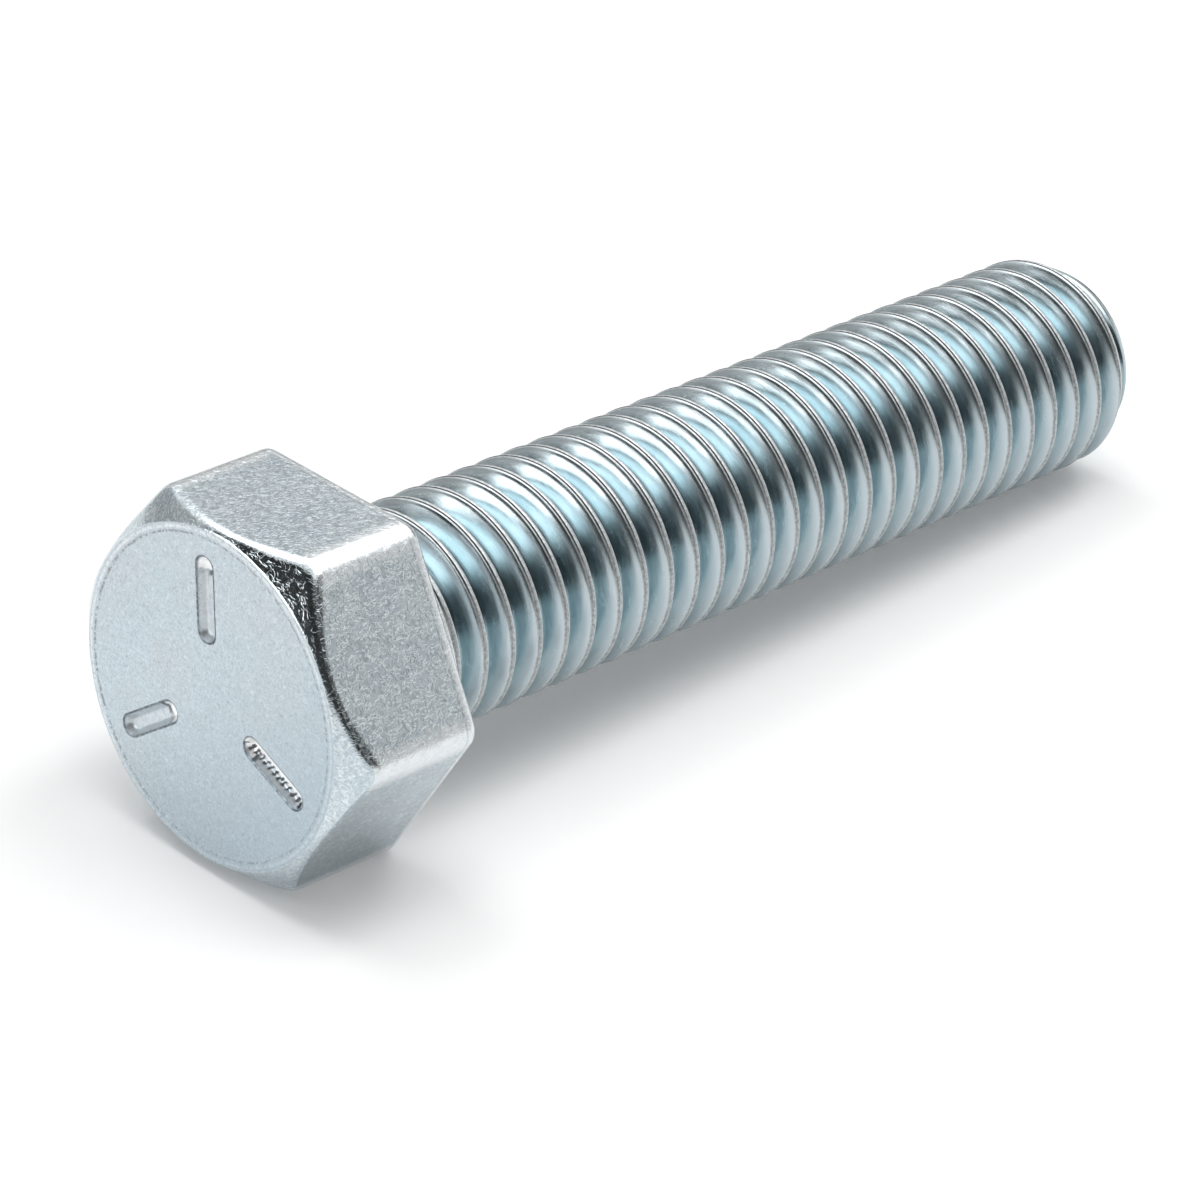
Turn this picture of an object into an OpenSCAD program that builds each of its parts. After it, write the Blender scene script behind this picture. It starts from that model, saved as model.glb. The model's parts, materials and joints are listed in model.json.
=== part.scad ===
// Hex tap bolt: a six-sided head with three grade marks and a shank threaded over its whole length.
// The bolt is drawn along its own axis, bearing face at x = 0, head towards -x and point towards +x.
// At the end it is laid down as it rests: on the edge of one flat of the head and on a crest near the point.

/* [Thread] */
// Diameter over the crests
thread_d = 12.45; // [11.8:0.05:13.6]
// Distance from one crest to the next, along the axis
thread_pitch = 1.954; // [1.85:0.001:2.4]
// Depth of the groove from crest to root
thread_depth = 1.1; // [0.8:0.01:1.2]
// Width of the narrow land on the crest
crest_w = 0.4; // [0.1:0.01:0.45]
// Width of the groove's rounded floor
root_w = 0.36; // [0.3:0.01:0.7]
// Length from the bearing face to the end of the point
shank_l = 57.15; // [40:0.05:60]
// Turn of the whole thread about the axis
thread_turn = 310; // [0:1:359]

/* [Ends of the thread] */
// Diameter of the plain neck under the head
neck_d = 11.3; // [10.6:0.05:11.6]
// Length of the plain neck
neck_l = 0.9; // [0.5:0.05:2]
// Length over which the groove and the crest grow out of the neck
run_out_l = 1.9; // [1:0.05:4]
// Radius of the hollow fillet between neck and bearing face
fillet_r = 0.8; // [0.4:0.05:1.2]
// Diameter of the end face of the point
point_d = 10.1; // [9:0.05:11]
// Length of the cone at the point
point_l = 1.9; // [1:0.05:3]

/* [Head] */
// Width across the flats
flats_w = 19.05; // [18.2:0.05:20.5]
// Height of the head, washer face included
head_h = 8.8; // [7:0.05:10]
// Diameter over the rounded corners
corner_d = 21.66; // [21.2:0.02:21.9]
// Diameter of the flat circle on top of the head
top_d = 18.4; // [16.5:0.05:18.8]
// Slope of the cone that takes off the top corners, from the top face
bevel_angle = 40; // [25:1:50]
// Rounding between the top circle and the cone
rim_r = 0.6; // [0.2:0.05:1]
// Break of the edges on the bearing side of the flats
back_edge = 0.35; // [0.1:0.05:0.7]
// Diameter of the washer face
washer_d = 18.1; // [16.5:0.05:18.6]
// Thickness of the washer face
washer_t = 0.35; // [0.15:0.05:0.8]

/* [Grade marks] */
// Distance from the axis to the inner end of a mark
mark_in = 3.0; // [2:0.05:4.5]
// Distance from the axis to the outer end of a mark
mark_out = 7.7; // [6:0.05:8.2]
// Width of a mark at the top face
mark_w = 1.22; // [0.8:0.02:2]
// Width of a mark's floor
mark_floor_w = 0.56; // [0.2:0.02:0.76]
// Depth of a mark
mark_depth = 0.4; // [0.15:0.01:0.8]
// Turn of the three marks about the axis, from the middle of a flat
mark_turn = -7; // [-30:1:30]

/* [Hidden] */
mark_n = 3;

// Straight steps in one turn of the helix and stations along one pitch of the section
steps = 36;
stations = 5;
crest_r = thread_d / 2;
root_r = crest_r - thread_depth;
// The two flanks end a little above the lowest line of the rounded floor
floor_rise = root_w * 0.12;
// Places of the stations along one pitch, as shares of it, starting at the side of the crest nearer the head
crest_share = crest_w / thread_pitch;
root_share = root_w / thread_pitch;
place = [0, crest_share, (1 + crest_share - root_share) / 2, (1 + crest_share) / 2,
         (1 + crest_share + root_share) / 2];
radius = [crest_r, crest_r, root_r + floor_rise, root_r, root_r + floor_rise];

// The mesh of the shank starts inside the head, so that the two overlap
inside_l = 1.2;
x_first = -inside_l;
x_last = shank_l;
phase = thread_pitch * (thread_turn / 360 - 1) - crest_w / 2;
// A station closer to an end plane than this is drawn onto it
snap = 0.12;

function share_at(j) = floor(j / stations) + place[j - stations * floor(j / stations)];
function x_at(i, j) = phase + thread_pitch * (share_at(j) + i / steps);
function last_below(f, m) = (m > 0 && place[m] > f) ? last_below(f, m - 1) : m;
function first_above(f, m) = (m < stations && place[m] < f) ? first_above(f, m + 1) : m;
function j_low(i) =
    let (u = (x_first + snap - phase) / thread_pitch - i / steps, k = floor(u))
    k * stations + last_below(u - k, stations - 1);
function j_high(i) =
    let (u = (x_last - snap - phase) / thread_pitch - i / steps, k = floor(u))
    k * stations + first_above(u - k, 0);

low = [for (i = [0 : steps - 1]) j_low(i)];
high = [for (i = [0 : steps - 1]) j_high(i)];
count = [for (i = [0 : steps - 1]) high[i] - low[i] + 1];
function total(n) = n == 0 ? 0 : total(n - 1) + count[n - 1];
offset_at = [for (i = [0 : steps]) total(i)];

// Radius of the full thread section between two stations, from the place along the pitch
function full_r(f) = lookup(f, [
    [place[0], radius[0]],
    [place[1], radius[1]],
    [place[2], radius[2]],
    [place[3], radius[3]],
    [place[4], radius[4]],
    [1, radius[0]]]);
function grown(x) =
    let (t = min(1, max(0, (x - neck_l) / run_out_l)))
    t * t * (3 - 2 * t);
function cone_r(x) = point_d / 2 + max(0, (shank_l - x) / point_l) * (crest_r - point_d / 2);
function surface_r(x, i) =
    let (u = (x - phase) / thread_pitch - i / steps, f = u - floor(u))
    min(cone_r(x), neck_d / 2 + grown(x) * (full_r(f) - neck_d / 2));

function place_at(i, j) =
    let (x = j <= low[i] ? x_first : (j >= high[i] ? x_last : x_at(i, j)), r = surface_r(x, i),
         a = 360 * i / steps)
    [x, r * cos(a), r * sin(a)];
function id(i, j) =
    let (c = i % steps, jj = i >= steps ? j + stations : j)
    offset_at[c] + min(high[c], max(low[c], jj)) - low[c];

shank_points = [for (i = [0 : steps - 1]) for (j = [low[i] : high[i]]) place_at(i, j)];
function quad(i, j) = let (a = id(i, j), b = id(i + 1, j), c = id(i + 1, j + 1), d = id(i, j + 1))
    [if (a != b && b != c && a != c) [a, c, b], if (a != c && c != d && a != d) [a, d, c]];
shank_faces = concat(
    [for (i = [0 : steps - 1])
        for (j = [min(low[i], low[(i + 1) % steps] - (i + 1 == steps ? stations : 0)) :
                  max(high[i], high[(i + 1) % steps] - (i + 1 == steps ? stations : 0)) - 1])
            for (f = quad(i, j)) f],
    [[for (i = [0 : steps - 1]) id(i, low[i])]],
    [[for (i = [steps - 1 : -1 : 0]) id(i, high[i])]]);

// Rest: the tilt at which the flat's edge and the lowest crest near the point touch the ground together
edge_x = -washer_t - back_edge;
under = steps * 3 / 4;
touch = [for (j = [high[under] - 3 * stations : high[under]])
    let (p = place_at(under, j))
    atan((flats_w / 2 + p[2]) / (p[0] - edge_x))];
tilt = min(touch);
lift = flats_w / 2 * cos(tilt) + edge_x * sin(tilt);
x_min = -head_h * cos(tilt) - top_d / 2 * sin(tilt);
x_max = shank_l * cos(tilt) + point_d / 2 * sin(tilt);

// Steps of the rounding between the top circle and the cone, as a polygon for the turned outline
rim_tangent = rim_r * tan(bevel_angle / 2);
rim_arc = [for (a = [0 : bevel_angle / 4 : bevel_angle])
    [top_d / 2 - rim_tangent + rim_r * sin(a), rim_r - rim_r * cos(a)]];
corner_drop = (corner_d / 2 - top_d / 2) * tan(bevel_angle);
fillet_steps = 5;
fillet_sink = 0.07;
fillet_arc = [for (k = [0 : fillet_steps])
    let (a = 90 * k / fillet_steps)
    [neck_d / 2 - fillet_sink + fillet_r - fillet_r * cos(a), fillet_r - fillet_r * sin(a)]];

// A revolve drawn with its axis upwards, turned to lie along x with its foot at x = 0 going towards -x
module to_head_side() {
    rotate([0, -90, 0]) children();
}

module shank() {
    color("silver") polyhedron(points = shank_points, faces = shank_faces, convexity = 10);
}

module fillet_ring() {
    color("silver")
    rotate([0, 90, 0])
    rotate_extrude($fn = 96)
    polygon(concat([[neck_d / 2 - 2, fillet_r], [neck_d / 2 - 2, -washer_t]],
        [[neck_d / 2 - fillet_sink + fillet_r, -washer_t]],
        [for (k = [fillet_steps : -1 : 0]) fillet_arc[k]]));
}

module head_blank() {
    // Six flats with a narrow break along their edges on the bearing side
    side = flats_w / sqrt(3);
    small = (flats_w - 2 * back_edge) / sqrt(3);
    top_x = -head_h - 1;
    ring = [[top_x, side], [-washer_t - back_edge, side], [-washer_t, small]];
    polyhedron(
        points = [for (r = ring) for (k = [0 : 5]) [r[0], r[1] * cos(60 * k), r[1] * sin(60 * k)]],
        faces = concat(
            [[for (k = [0 : 5]) k]],
            [for (q = [0, 1]) for (k = [0 : 5])
                [6 * q + k, 6 * q + 6 + k, 6 * q + 6 + (k + 1) % 6, 6 * q + (k + 1) % 6]],
            [[17, 16, 15, 14, 13, 12]]),
        convexity = 4);
}

module turned_outline() {
    // Turned shape of the head: cone and rounded rim at the top, rounded corners below
    to_head_side()
    rotate_extrude($fn = 96)
    polygon(concat(
        [[0, head_h]],
        [for (p = rim_arc) [p[0], head_h - p[1]]],
        [[corner_d / 2, head_h - corner_drop], [corner_d / 2, washer_t - 0.5], [0, washer_t - 0.5]]));
}

module mark_cutter() {
    // One mark: sloping walls, a flat floor and rounded ends, drawn below the top face
    over = 0.3;
    wall = (mark_w - mark_floor_w) / 2 / mark_depth;
    out = mark_w / 2 + over * wall;
    near = mark_in + mark_w / 2;
    far = mark_out - mark_w / 2;
    rotate([90, 0, 90])
    translate([0, 0, near])
    linear_extrude(height = far - near)
    polygon([[-mark_floor_w / 2, -mark_depth], [mark_floor_w / 2, -mark_depth], [out, over], [-out, over]]);
    for (r = [near, far])
        translate([r, 0, -mark_depth])
        cylinder(h = mark_depth + over, r1 = mark_floor_w / 2, r2 = out, $fn = 48);
}

module head() {
    color("silver")
    difference() {
        union() {
            intersection() {
                head_blank();
                turned_outline();
            }
            to_head_side() cylinder(h = washer_t + 0.4, d = washer_d, $fn = 96);
        }
        for (k = [0 : mark_n - 1])
            translate([-head_h, 0, 0])
            rotate([90 + mark_turn + 360 / mark_n * k, 0, 0])
            rotate([0, -90, 0])
            rotate([0, 0, 90])
            mark_cutter();
    }
}

module hex_tap_bolt() {
    translate([-(x_min + x_max) / 2, 0, lift])
    rotate([0, tilt, 0])
    union() {
        head();
        fillet_ring();
        shank();
    }
}

hex_tap_bolt();
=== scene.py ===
"""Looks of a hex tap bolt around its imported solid.

The bolt is one closed surface worked out with numpy: rings of points round the axis, from the middle of
the head's top face over the rim, the bevel and the flats to the neck, then along the helix of the thread
to the point. The sizes are those of the part's source, in millimetres along the bolt's own axis.
"""

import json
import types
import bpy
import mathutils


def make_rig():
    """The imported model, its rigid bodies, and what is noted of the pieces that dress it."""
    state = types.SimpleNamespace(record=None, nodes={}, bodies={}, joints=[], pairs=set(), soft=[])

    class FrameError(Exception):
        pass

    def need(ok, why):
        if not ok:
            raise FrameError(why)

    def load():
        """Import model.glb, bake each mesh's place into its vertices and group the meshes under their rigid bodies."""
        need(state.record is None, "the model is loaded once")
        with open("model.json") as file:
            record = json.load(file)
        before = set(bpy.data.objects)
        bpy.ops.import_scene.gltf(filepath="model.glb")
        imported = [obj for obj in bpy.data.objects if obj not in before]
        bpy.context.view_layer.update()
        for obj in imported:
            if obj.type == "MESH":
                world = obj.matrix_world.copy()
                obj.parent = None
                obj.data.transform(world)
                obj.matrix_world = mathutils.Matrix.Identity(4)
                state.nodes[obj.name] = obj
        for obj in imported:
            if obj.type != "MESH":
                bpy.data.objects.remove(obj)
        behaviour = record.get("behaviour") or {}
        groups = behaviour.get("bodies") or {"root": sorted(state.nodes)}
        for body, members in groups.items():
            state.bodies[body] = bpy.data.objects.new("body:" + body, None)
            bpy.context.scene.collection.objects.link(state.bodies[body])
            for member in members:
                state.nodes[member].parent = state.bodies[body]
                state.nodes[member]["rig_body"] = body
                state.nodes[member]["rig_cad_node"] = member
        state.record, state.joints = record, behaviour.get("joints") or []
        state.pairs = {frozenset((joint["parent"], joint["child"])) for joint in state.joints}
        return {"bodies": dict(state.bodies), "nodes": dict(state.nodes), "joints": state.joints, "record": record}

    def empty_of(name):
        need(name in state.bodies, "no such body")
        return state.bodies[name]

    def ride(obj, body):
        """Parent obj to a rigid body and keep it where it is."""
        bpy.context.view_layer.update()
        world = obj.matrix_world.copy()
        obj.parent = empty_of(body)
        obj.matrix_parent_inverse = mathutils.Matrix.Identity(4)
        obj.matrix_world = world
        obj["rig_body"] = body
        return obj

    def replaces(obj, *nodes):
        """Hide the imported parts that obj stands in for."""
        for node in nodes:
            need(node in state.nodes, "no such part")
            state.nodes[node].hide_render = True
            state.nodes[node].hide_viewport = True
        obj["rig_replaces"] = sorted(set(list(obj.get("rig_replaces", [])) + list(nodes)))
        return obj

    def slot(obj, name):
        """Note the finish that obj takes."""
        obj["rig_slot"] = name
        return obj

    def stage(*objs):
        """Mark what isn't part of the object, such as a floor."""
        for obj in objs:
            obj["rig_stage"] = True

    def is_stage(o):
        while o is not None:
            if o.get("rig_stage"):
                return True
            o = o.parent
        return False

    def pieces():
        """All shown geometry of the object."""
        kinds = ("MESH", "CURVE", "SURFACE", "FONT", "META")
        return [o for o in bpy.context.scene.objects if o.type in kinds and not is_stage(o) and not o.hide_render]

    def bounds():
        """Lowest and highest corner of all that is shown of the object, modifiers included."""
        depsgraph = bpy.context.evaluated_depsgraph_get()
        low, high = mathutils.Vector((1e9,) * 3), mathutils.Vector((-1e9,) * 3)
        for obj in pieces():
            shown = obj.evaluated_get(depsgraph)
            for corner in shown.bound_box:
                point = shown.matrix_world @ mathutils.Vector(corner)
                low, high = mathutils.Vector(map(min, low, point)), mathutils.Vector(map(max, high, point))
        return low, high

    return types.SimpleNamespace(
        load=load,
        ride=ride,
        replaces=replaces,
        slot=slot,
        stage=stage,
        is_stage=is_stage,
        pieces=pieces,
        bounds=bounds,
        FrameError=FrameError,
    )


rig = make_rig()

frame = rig.load()

import json
import logging
import math
from dataclasses import dataclass, field
from enum import Enum
from typing import Optional, Tuple, Union

import bpy
import numpy as np
from mathutils import Matrix

CAD_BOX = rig.bounds()
MM = 0.001
BODY = "root"
NODE = "hex_tap_bolt"
SLOT = "zinc_plated_steel"
Colour = Tuple[float, float, float]
Value = Union[float, tuple, "Signal"]
log = logging.getLogger("hex_tap_bolt")


class Finish(Enum):
    """Which finish a face of the bolt has."""

    FACE = 0
    BEVEL = 1
    FLATS = 2
    THREAD = 3


class Tone(Enum):
    """Colours of the plating's wear and tone, and of the painted shade, painted highlights and painted reflections on
    it.
    """

    # Painted shade in a dotted line at the step inside the rim, and a painted highlight on the rim's rounding.
    RIM_DIRT = (0.14, 0.15, 0.16)
    RIM_BARE = (0.93, 0.95, 0.96)
    # Painted shade on the lower part of the top face.
    FACE_LOW = (0.36, 0.45, 0.52)
    # Painted shade on the strokes' walls, outlines and steep side.
    STROKE_WALL = (0.25, 0.28, 0.30)
    STROKE_FLOOR = (0.86, 0.88, 0.89)
    STROKE_LINE = (0.08, 0.10, 0.12)
    STROKE_LIP = (0.06, 0.08, 0.10)
    # Painted shade and painted highlight at the strokes' upper ends.
    END_SHADE = (0.06, 0.07, 0.08)
    END_SHINE = (0.99, 0.99, 1.0)
    # Painted highlight on one side of the lowest stroke.
    CHATTER_LIGHT = (0.97, 0.98, 0.98)
    CHATTER_DARK = (0.04, 0.045, 0.05)
    # Painted shade on the top flat and over the drag flat, darker towards the floor.
    FLAT_TOP = (0.42, 0.475, 0.505)
    FLAT_LOW = (0.29, 0.36, 0.40)
    DRAG = (0.22, 0.27, 0.31)
    # Bare worn corners, and a painted highlight along the rear edge of the flats.
    EDGE_BARE = (0.92, 0.94, 0.95)
    EDGE_LINE = (0.3, 0.33, 0.35)
    # Painted shade on the lower side of the thread.
    THREAD_LOW = (0.30, 0.425, 0.475)
    # Painted dark reflection in patches on the far side of the thread.
    THREAD_PATCH = (0.07, 0.09, 0.10)
    # Painted highlight on the upper part of the head-side flank.
    THREAD_SIDE = (0.64, 0.69, 0.715)
    LAND_LIGHT = (0.64, 0.655, 0.66)
    LAND_DARK = (0.384, 0.393, 0.396)
    # Painted highlight along the land's edge.
    LAND_EDGE = (0.9, 0.95, 0.98)
    # Painted shade in the roots of the thread.
    ROOT = (0.215, 0.315, 0.35)
    # Painted shade in the fold of the land.
    FOLD = (0.02, 0.022, 0.025)


Tint = Union[Colour, Tone, "Signal"]


def smooth(low: float, high: float, value: np.ndarray) -> np.ndarray:
    """Rise from 0 at low to 1 at high, level at both ends.

    Args:
        low: Value where the rise starts.
        high: Value where the rise ends.
        value: Where to read the rise.

    Returns:
        t * t * (3 - 2 t) of the share t of the way from low to high.
    """
    t = np.clip((value - low) / (high - low), 0.0, 1.0)
    return t * t * (3 - 2 * t)


def soft_ramp(t: np.ndarray, width: float) -> np.ndarray:
    """A ramp that is 0 below 0 and t above it, with a parabola over the corner.

    Args:
        t: Distance past the corner.
        width: Half the length of the parabola.

    Returns:
        0 before -width, (t + width)^2 / (4 width) up to +width, and t after it.
    """
    bend = (t + width) ** 2 / (4 * width)
    return np.where(t < -width, 0.0, np.where(t > width, t, bend))


def round_axis(x: np.ndarray, r: np.ndarray, angle: np.ndarray) -> np.ndarray:
    """Points with their places along the axis, distances from it and angles from +Y towards +Z."""
    return np.stack([x, r * np.cos(angle), r * np.sin(angle)], axis=-1)


@dataclass(frozen=True)
class RoundedPath:
    """Turns a path with sharp corners into rings of points with rounded ones.

    A corner's arc starts one tangent length, radius * tan(half the turn), before the corner. One more
    point stands close to each end of an arc, so that the flat beside it stays flat in shading.
    """

    arc_points: int = 7
    support: float = 0.04
    support_share: float = 0.3

    def rings(self, xs: list, rs: list, radii: list, counts: list) -> Tuple[np.ndarray, np.ndarray]:
        """Points along a path in the half plane through the axis.

        Args:
            xs: Place of each corner along the axis, a number or one number for each column.
            rs: Radius of each corner, a number or one number for each column.
            radii: Radius of the rounding at each inner corner.
            counts: Steps in each straight stretch between two corners.

        Returns:
            Arrays of x and radius, one row for each ring of points.
        """
        columns = np.broadcast(*xs, *rs).shape
        path = np.array([[np.broadcast_to(v, columns) for v in corner] for corner in zip(xs, rs)], float)
        along = np.diff(path, axis=0)
        way = along / np.hypot(along[:, 0], along[:, 1])[:, None]
        start = path[0]
        rings = [start]
        for k, radius in enumerate(radii, 1):
            turn = np.arccos(np.clip((way[k - 1] * way[k]).sum(0), -1, 1))
            tangent = radius * np.tan(turn / 2)
            stop = path[k] - way[k - 1] * tangent
            rings += self.stretch(start, stop, counts[k - 1], k > 1)
            side = (way[k] - way[k - 1] * np.cos(turn)) / np.maximum(np.sin(turn), 1e-9)
            for share in np.linspace(0, 1, self.arc_points):
                at = turn * share
                rings.append(stop + radius * (np.sin(at) * way[k - 1] + (1 - np.cos(at)) * side))
            start = path[k] + way[k] * tangent
        rings += self.stretch(start, path[-1], counts[-1], True) + [path[-1]]
        stacked = np.array(rings)
        return stacked[:, 0], stacked[:, 1]

    def stretch(self, start: np.ndarray, stop: np.ndarray, count: int, after_arc: bool) -> list:
        """Points on a straight stretch, both of its ends left out.

        Args:
            start: Where the stretch starts.
            stop: Where it ends.
            count: Steps in it.
            after_arc: Whether an arc ends at its start.

        Returns:
            The points, with one more close to each end that has an arc.
        """
        reach = stop - start
        length = np.maximum(np.hypot(reach[0], reach[1]), 1e-6)
        near = np.minimum(self.support / length, self.support_share)
        shares = [near] * after_arc + list(np.linspace(0, 1, count + 1)[1:-1]) + [1 - near]
        return [start + reach * share for share in shares]


@dataclass(frozen=True)
class Rest:
    """How the bolt lies: on the edge of one flat and on a crest near the point."""

    tilt_deg: float = 3.44287
    slide: float = -24.0068
    lift: float = 9.46577

    def place(self, points: np.ndarray) -> np.ndarray:
        """Turn and shift points of the bolt's own axis to where it lies.

        Args:
            points: Points in millimetres, x along the bolt's axis from the bearing face to the point.

        Returns:
            The same points in metres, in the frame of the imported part.
        """
        c = math.cos(math.radians(self.tilt_deg))
        s = math.sin(math.radians(self.tilt_deg))
        x, y, z = points.T
        return np.stack([x * c + z * s + self.slide, y, z * c - x * s + self.lift], axis=1) * MM


@dataclass
class Shell:
    """Points and faces of the bolt's skin while it is put together."""

    points: list = field(default_factory=list)
    faces: list = field(default_factory=list)
    kinds: list = field(default_factory=list)
    size: int = 0

    def add_points(self, points: np.ndarray) -> int:
        """Append points.

        Args:
            points: Rows of x, y, z in millimetres.

        Returns:
            The number of the first new point.
        """
        first = self.size
        self.points.append(points)
        self.size += len(points)
        return first

    def add_faces(self, corners: list, kind: Finish) -> None:
        """Append faces with three or four corners.

        Args:
            corners: Arrays with the point numbers of the faces' first corners, second corners and so
                on, in order round the outer side. A face in which two neighbours are the same point
                becomes a triangle, or is dropped.
            kind: The finish of the faces.
        """
        corners = np.stack(np.broadcast_arrays(*corners, *corners[:4 - len(corners)]), axis=-1)
        corners = corners.reshape(-1, 4)
        different = corners != np.roll(corners, -1, axis=1)
        whole = corners[different.all(axis=1)]
        three = different.sum(axis=1) == 3
        part = corners[three][different[three]].reshape(-1, 3)
        self.faces += whole.tolist() + part.tolist()
        self.kinds += [kind.value] * (len(whole) + len(part))

    def add_grid(self, first: int, rows: int, columns: int, kind: Finish) -> int:
        """Append the faces of a grid that is closed round the axis.

        Args:
            first: Number of the grid's first point.
            rows: Rings in the grid, from the head towards the point.
            columns: Points in each ring, from +Y towards +Z.
            kind: The finish of the faces.

        Returns:
            The number of the first point of the grid's last ring.
        """
        ring = np.arange(columns)
        after = (ring + 1) % columns
        row = first + columns * np.arange(rows - 1)[:, None]
        self.add_faces([row + ring, row + after, row + columns + after, row + columns + ring], kind)
        return first + (rows - 1) * columns


@dataclass(frozen=True)
class GradeMarks:
    """Three sunk strokes on the top of the head, pointing away from its middle."""

    inner: float = 3.0
    outer: float = 7.7
    width: float = 1.22
    floor: float = 0.56
    depth: float = 0.4
    first_deg: float = 83.0
    count: int = 3
    lip: float = 0.07
    lane: float = 1.0
    lane_share: float = 0.19
    lane_end: float = 1.05

    def middle_line(self) -> Tuple[float, float, float]:
        """Inner and outer end of a stroke's middle line, and the width of its wall."""
        half = self.width / 2
        return self.inner + half, self.outer - half, (self.width - self.floor) / 2

    def drop(self, y: np.ndarray, z: np.ndarray) -> np.ndarray:
        """How deep the face lies at a place.

        Args:
            y: Place across the axis.
            z: Place across the axis, at right angles to y.

        Returns:
            Depth in millimetres. Each stroke is a line with round ends: the wall runs down evenly
            from its outline to the floor, and both corners of the wall are rounded.
        """
        near, far, wall = self.middle_line()
        depth = np.zeros_like(y)
        for turn in np.radians(self.first_deg + 360.0 / self.count * np.arange(self.count)):
            u = y * math.cos(turn) + z * math.sin(turn)
            w = z * math.cos(turn) - y * math.sin(turn)
            out = np.hypot(np.maximum(np.maximum(near - u, u - far), 0.0), w)
            inside = self.width / 2 - out
            share = (soft_ramp(inside, self.lip) - soft_ramp(inside - wall, self.lip)) / wall
            depth = np.maximum(depth, self.depth * np.clip(share, 0.0, 1.0))
        return depth

    def columns_at(self, radius: np.ndarray, count: int) -> np.ndarray:
        """Angles of the columns of points at some radii, running alongside the strokes.

        Args:
            radius: Radii, one for each ring.
            count: Columns in a whole turn.

        Returns:
            Angles in radians, one row for each ring. Beside a stroke the columns are parallel to it,
            so their angle from its middle is asin(distance / radius), and between two strokes they
            spread evenly over what is left.
        """
        sector = count // self.count
        shifted = np.arange(count) + sector // 2
        m = shifted % sector - sector // 2
        lane_columns = sector * self.lane_share
        r = np.maximum(radius[:, None], self.lane * self.lane_end)
        lane = np.arcsin(np.clip(m / lane_columns, -1, 1) * self.lane / r)
        edge = np.arcsin(self.lane / r)
        beyond = (np.abs(m) - lane_columns) / (sector / 2 - lane_columns)
        spread = np.sign(m) * (edge + (math.pi / self.count - edge) * np.clip(beyond, 0, 1))
        own = np.where(np.abs(m) <= lane_columns, lane, spread)
        return own + math.radians(self.first_deg) + 2 * math.pi / self.count * (shifted // sector)


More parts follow.
